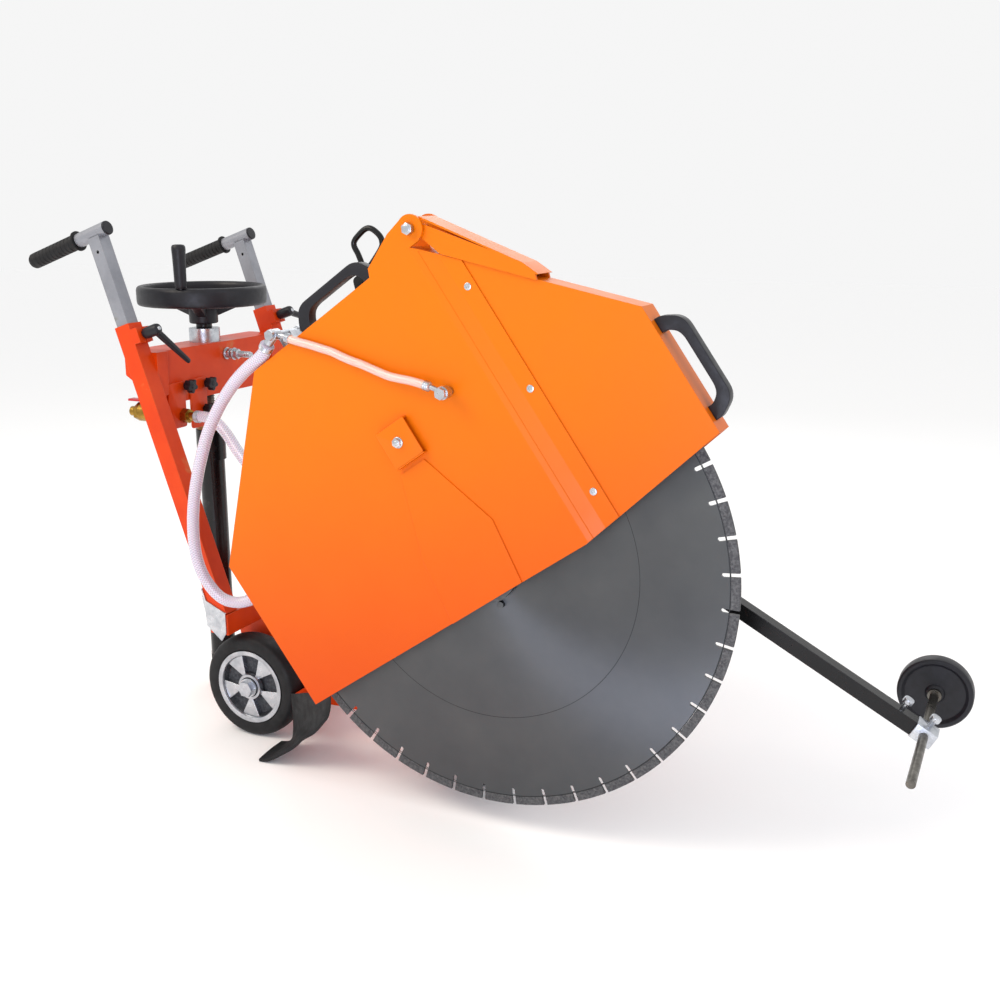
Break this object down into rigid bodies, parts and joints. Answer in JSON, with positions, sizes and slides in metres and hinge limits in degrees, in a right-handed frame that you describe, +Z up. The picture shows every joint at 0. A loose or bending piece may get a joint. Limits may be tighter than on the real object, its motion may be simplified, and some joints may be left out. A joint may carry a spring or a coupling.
{
  "type": "walk-behind concrete saw",
  "caption": "Electric walk-behind saw with a hinged blade guard, a tilting saw frame on wheels, a lifting handwheel, push handles and a folding guide wheel.",
  "frame": {"origin": "middle of the footprint, on the ground", "axes": "+X forwards, towards the guide wheel; +Y from the blade towards the motor side; +Z up"},
  "size_m": [1.7034, 0.6802, 0.9769],
  "materials": {
    "orange_paint": "powder coat, glossy",
    "fittings_paint": "powder coat, glossy",
    "zinc_plate": "bright zinc plating",
    "silver_paint": "silver-grey powder coat",
    "tyre_rubber": "matte moulded rubber",
    "rim_aluminium": "turned aluminium",
    "black_plastic": "fine-grained moulded plastic",
    "black_casting": "matte moulded wheel",
    "black_paint": "black paint, half matte",
    "spindle_steel": "oiled steel",
    "nut_bronze": "turned bronze",
    "motor_paint": "grey motor paint",
    "pulley_iron": "turned cast iron",
    "belt_rubber": "matte rubber",
    "blade_steel": "ground steel",
    "segment_metal": "sintered metal, dull",
    "valve_brass": "plain brass",
    "red_paint": "dipped plastic coat",
    "grip_rubber": "soft rubber",
    "flap_rubber": "worn sheet rubber",
    "hose_clear": "clear PVC with braid",
    "hose_thin": "clear PVC",
    "box_plastic": "moulded housing",
    "start_green": "glossy",
    "stop_red": "glossy"
  },
  "bodies": {
    "undercarriage": {"chassis": "orange_paint", "axles": "zinc_plate", "wheel_brackets": "zinc_plate", "handle_post_near": "orange_paint", "handle_post_far": "orange_paint", "crossbeam": "orange_paint", "spindle_bearing": "zinc_plate", "beam_fittings": "fittings_paint", "ball_valve": "valve_brass", "mud_flap": "flap_rubber", "braided_hose": "hose_clear"},
    "rear_wheel_near": {"rear_tyre_near": "tyre_rubber", "rear_rim_near": "rim_aluminium"},
    "rear_wheel_far": {"rear_tyre_far": "tyre_rubber", "rear_rim_far": "rim_aluminium"},
    "front_caster_near": {"front_wheel_near": "tyre_rubber"},
    "front_caster_far": {"front_wheel_far": "tyre_rubber"},
    "saw_frame": {"saw_frame": "orange_paint", "motor_housing": "motor_paint", "v_belts": "belt_rubber", "belt_cover": "black_paint", "bearing_blocks": "zinc_plate", "guard_shell": "orange_paint", "service_flap": "orange_paint", "guard_fasteners": "zinc_plate", "guard_handle": "black_plastic", "lifting_eye": "black_paint", "water_fittings": "zinc_plate", "spray_hose": "hose_thin", "switch_box": "box_plastic"},
    "blade": {"blade_shaft": "spindle_steel", "blade_pulley": "pulley_iron", "blade_clamp": "zinc_plate", "blade_core": "blade_steel", "blade_segments": "segment_metal"},
    "motor_rotor": {"motor_shaft": "spindle_steel", "motor_pulley": "pulley_iron"},
    "hood": {"hood": "orange_paint", "hood_handle": "black_plastic"},
    "handwheel": {"handwheel": "black_casting", "spindle": "spindle_steel"},
    "crank_knob": {"handwheel_knob": "black_plastic"},
    "lift": {"lift_tube": "black_paint", "spindle_nut": "nut_bronze"},
    "handle_near": {"handle_tube_near": "silver_paint", "grip_near": "grip_rubber"},
    "handle_far": {"handle_tube_far": "silver_paint", "grip_far": "grip_rubber"},
    "lever_near": {"clamp_lever_near": "black_plastic"},
    "lever_far": {"clamp_lever_far": "black_plastic"},
    "knob_a": {"star_knob_a": "black_plastic"},
    "knob_b": {"star_knob_b": "black_plastic"},
    "knob_c": {"star_knob_c": "black_plastic"},
    "valve_lever": {"valve_lever": "red_paint"},
    "guide_arm": {"guide_arm": "black_paint", "guide_block": "zinc_plate"},
    "guide_rod": {"guide_rod": "spindle_steel"},
    "guide_wheel": {"guide_wheel": "tyre_rubber"},
    "start_button": {"start_button": "start_green"},
    "stop_button": {"stop_button": "stop_red"}
  },
  "joints": [
    {"name": "rear_wheel_near_spin", "type": "hinge", "parent": "undercarriage", "child": "rear_wheel_near", "pos_m": [-0.4095, -0.13407, 0.1], "axis": [0, 1, 0], "continuous": true},
    {"name": "rear_wheel_far_spin", "type": "hinge", "parent": "undercarriage", "child": "rear_wheel_far", "pos_m": [-0.4095, 0.21793, 0.1], "axis": [0, 1, 0], "continuous": true},
    {"name": "front_wheel_near_spin", "type": "hinge", "parent": "undercarriage", "child": "front_caster_near", "pos_m": [0.0735, -0.13407, 0.075], "axis": [0, 1, 0], "continuous": true},
    {"name": "front_wheel_far_spin", "type": "hinge", "parent": "undercarriage", "child": "front_caster_far", "pos_m": [0.0735, 0.21793, 0.075], "axis": [0, 1, 0], "continuous": true},
    {"name": "frame_tilt", "type": "hinge", "parent": "undercarriage", "child": "saw_frame", "pos_m": [-0.4095, 0.04192, 0.1], "axis": [0, 1, 0], "range_deg": [0, 35]},
    {"name": "blade_spin", "type": "hinge", "parent": "saw_frame", "child": "blade", "pos_m": [0.14368, -0.26608, 0.44583], "axis": [0, 1, 0], "continuous": true},
    {"name": "motor_spin", "type": "hinge", "parent": "saw_frame", "child": "motor_rotor", "pos_m": [-0.18124, -0.06607, 0.50887], "axis": [0, 1, 0], "continuous": true},
    {"name": "hood_swing", "type": "hinge", "parent": "saw_frame", "child": "hood", "pos_m": [0.04047, -0.27108, 0.95587], "axis": [0, -1, 0], "range_deg": [0, 95]},
    {"name": "handwheel_turn", "type": "hinge", "parent": "undercarriage", "child": "handwheel", "pos_m": [-0.6245, 0.04192, 0.78], "axis": [0, 0, 1], "range_deg": [0, 2436]},
    {"name": "crank_knob_spin", "type": "hinge", "parent": "handwheel", "child": "crank_knob", "pos_m": [-0.58431, -0.06849, 0.87], "axis": [0, 0, 1], "continuous": true},
    {"name": "lift_slide", "type": "slide", "parent": "undercarriage", "child": "lift", "axis": [0, 0, 1], "range_m": [0, 0.1355]},
    {"name": "handle_near_slide", "type": "slide", "parent": "undercarriage", "child": "handle_near", "axis": [-0.3256, 0, 0.9455], "range_m": [-0.1, 0.05]},
    {"name": "handle_far_slide", "type": "slide", "parent": "undercarriage", "child": "handle_far", "axis": [-0.3256, 0, 0.9455], "range_m": [-0.1, 0.05]},
    {"name": "clamp_lever_near_turn", "type": "hinge", "parent": "undercarriage", "child": "lever_near", "pos_m": [-0.59178, -0.16608, 0.76154], "axis": [0.9455, 0, 0.3256], "range_deg": [-60, 40]},
    {"name": "clamp_lever_far_turn", "type": "hinge", "parent": "undercarriage", "child": "lever_far", "pos_m": [-0.59178, 0.24993, 0.76154], "axis": [0.9455, 0, 0.3256], "range_deg": [-40, 60]},
    {"name": "star_knob_a_turn", "type": "hinge", "parent": "undercarriage", "child": "knob_a", "pos_m": [-0.5795, -0.07107, 0.654], "axis": [1, 0, 0], "continuous": true},
    {"name": "star_knob_b_turn", "type": "hinge", "parent": "undercarriage", "child": "knob_b", "pos_m": [-0.5795, -0.01008, 0.651], "axis": [1, 0, 0], "continuous": true},
    {"name": "star_knob_c_turn", "type": "hinge", "parent": "undercarriage", "child": "knob_c", "pos_m": [-0.5795, -0.01808, 0.601], "axis": [1, 0, 0], "continuous": true},
    {"name": "valve_turn", "type": "hinge", "parent": "undercarriage", "child": "valve_lever", "pos_m": [-0.6735, -0.08207, 0.62], "axis": [0, 0, 1], "range_deg": [0, 90]},
    {"name": "guide_arm_swing", "type": "hinge", "parent": "saw_frame", "child": "guide_arm", "pos_m": [0.24369, -0.08607, 0.51135], "axis": [0, -1, 0], "range_deg": [0, 63.5]},
    {"name": "guide_rod_slide", "type": "slide", "parent": "guide_arm", "child": "guide_rod", "axis": [0, 1, 0], "range_m": [-0.05, 0.05]},
    {"name": "guide_wheel_spin", "type": "hinge", "parent": "guide_rod", "child": "guide_wheel", "pos_m": [0.79171, 0.08593, 0.21503], "axis": [0, 1, 0], "continuous": true},
    {"name": "start_press", "type": "slide", "parent": "saw_frame", "child": "start_button", "axis": [0, -1, 0], "range_m": [0, 0.005], "stiffness_N_per_m": 400, "springref_m": -0.002},
    {"name": "stop_press", "type": "slide", "parent": "saw_frame", "child": "stop_button", "axis": [0, -1, 0], "range_m": [0, 0.005], "stiffness_N_per_m": 400, "springref_m": -0.002}
  ],
  "couplings": [
    {"joint": "handwheel_turn", "follows": "frame_tilt", "ratio": 69.6},
    {"joint": "lift_slide", "follows": "frame_tilt", "m_per_rad": 0.2215},
    {"joint": "guide_arm_swing", "follows": "frame_tilt", "ratio": 1.811},
    {"joint": "motor_spin", "follows": "blade_spin", "ratio": 1.2}
  ]
}
